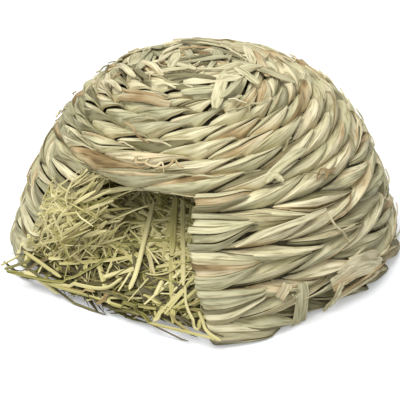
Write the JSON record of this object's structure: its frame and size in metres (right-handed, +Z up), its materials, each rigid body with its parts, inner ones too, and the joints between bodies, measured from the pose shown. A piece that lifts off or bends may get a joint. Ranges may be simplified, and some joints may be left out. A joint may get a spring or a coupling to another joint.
{
  "type": "rodent igloo",
  "caption": "Woven rush dome with a low wide doorway and a bed of loose hay inside, a hide and nest for small rodents.",
  "frame": {"origin": "middle of the footprint, on the surface that the igloo stands on", "axes": "+Z up, the doorway faces -Y, +X to the right when looking at the doorway"},
  "size_m": [0.2082, 0.1966, 0.0996],
  "materials": {
    "dried_rush": "dried rush leaf, matte with a faint leaf sheen",
    "meadow_hay": "dry loose hay, matte"
  },
  "bodies": {
    "root": {"woven_dome": "dried_rush", "border_tie": "dried_rush", "hay_bed": "meadow_hay"}
  },
  "joints": []
}
